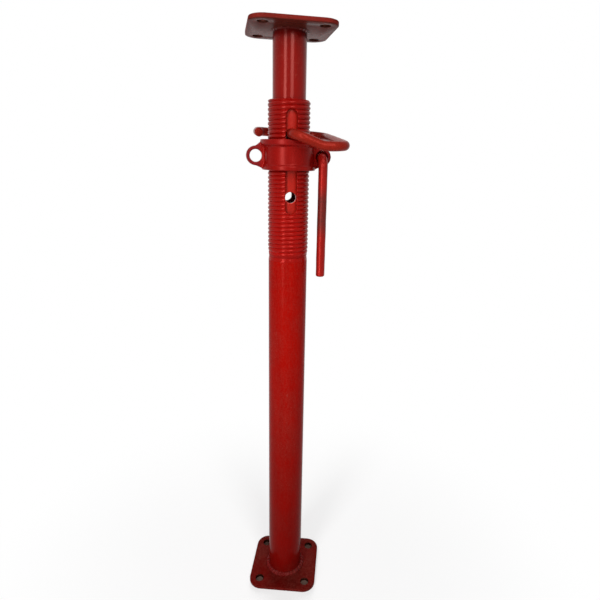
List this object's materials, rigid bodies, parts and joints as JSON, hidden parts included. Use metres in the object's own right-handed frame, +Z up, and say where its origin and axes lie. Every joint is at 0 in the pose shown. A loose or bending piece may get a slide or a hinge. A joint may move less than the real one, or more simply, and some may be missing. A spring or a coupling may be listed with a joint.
{
  "type": "adjustable steel prop",
  "caption": "Telescopic steel tube prop with a threaded, slotted outer tube, eared adjusting nut, hanging handle rod, looped locking pin and square drilled end plates.",
  "frame": {"origin": "centre of the base plate's underside, on the tubes' axis", "axes": "+Z up the tubes' axis, -Y out of the front slot along the locking pin's bar, +X towards the ear that holds the handle"},
  "size_m": [0.1495, 0.177, 0.9308],
  "materials": {
    "plate_paint": "satin red paint",
    "outer_paint": "gloss red paint",
    "inner_paint": "gloss red paint",
    "nut_paint": "red paint on cast iron",
    "rod_paint": "worn red paint"
  },
  "bodies": {
    "outer": {"base_plate": "plate_paint", "outer_tube": "outer_paint"},
    "inner": {"inner_tube": "inner_paint", "top_plate": "plate_paint"},
    "nut": {"adjusting_nut": "nut_paint"},
    "handle": {"nut_handle": "rod_paint"},
    "pin": {"g_pin": "rod_paint"}
  },
  "joints": [
    {"name": "inner_lift", "type": "slide", "parent": "outer", "child": "inner", "axis": [0, 0, 1], "range_m": [-0.0826, 0.0255]},
    {"name": "nut_turn", "type": "hinge", "parent": "inner", "child": "nut", "pos_m": [0, 0, 0.7597], "axis": [0, 0, 1], "range_deg": [-4680, 1440]},
    {"name": "handle_swing", "type": "hinge", "parent": "nut", "child": "handle", "pos_m": [0.049, 0, 0.7565], "axis": [0, -1, 0], "range_deg": [-4, 85]},
    {"name": "pin_draw", "type": "slide", "parent": "inner", "child": "pin", "axis": [0, -1, 0], "range_m": [0, 0.0619]}
  ],
  "couplings": [
    {"joint": "inner_lift", "follows": "nut_turn", "m_per_rad": 0.0010106}
  ]
}
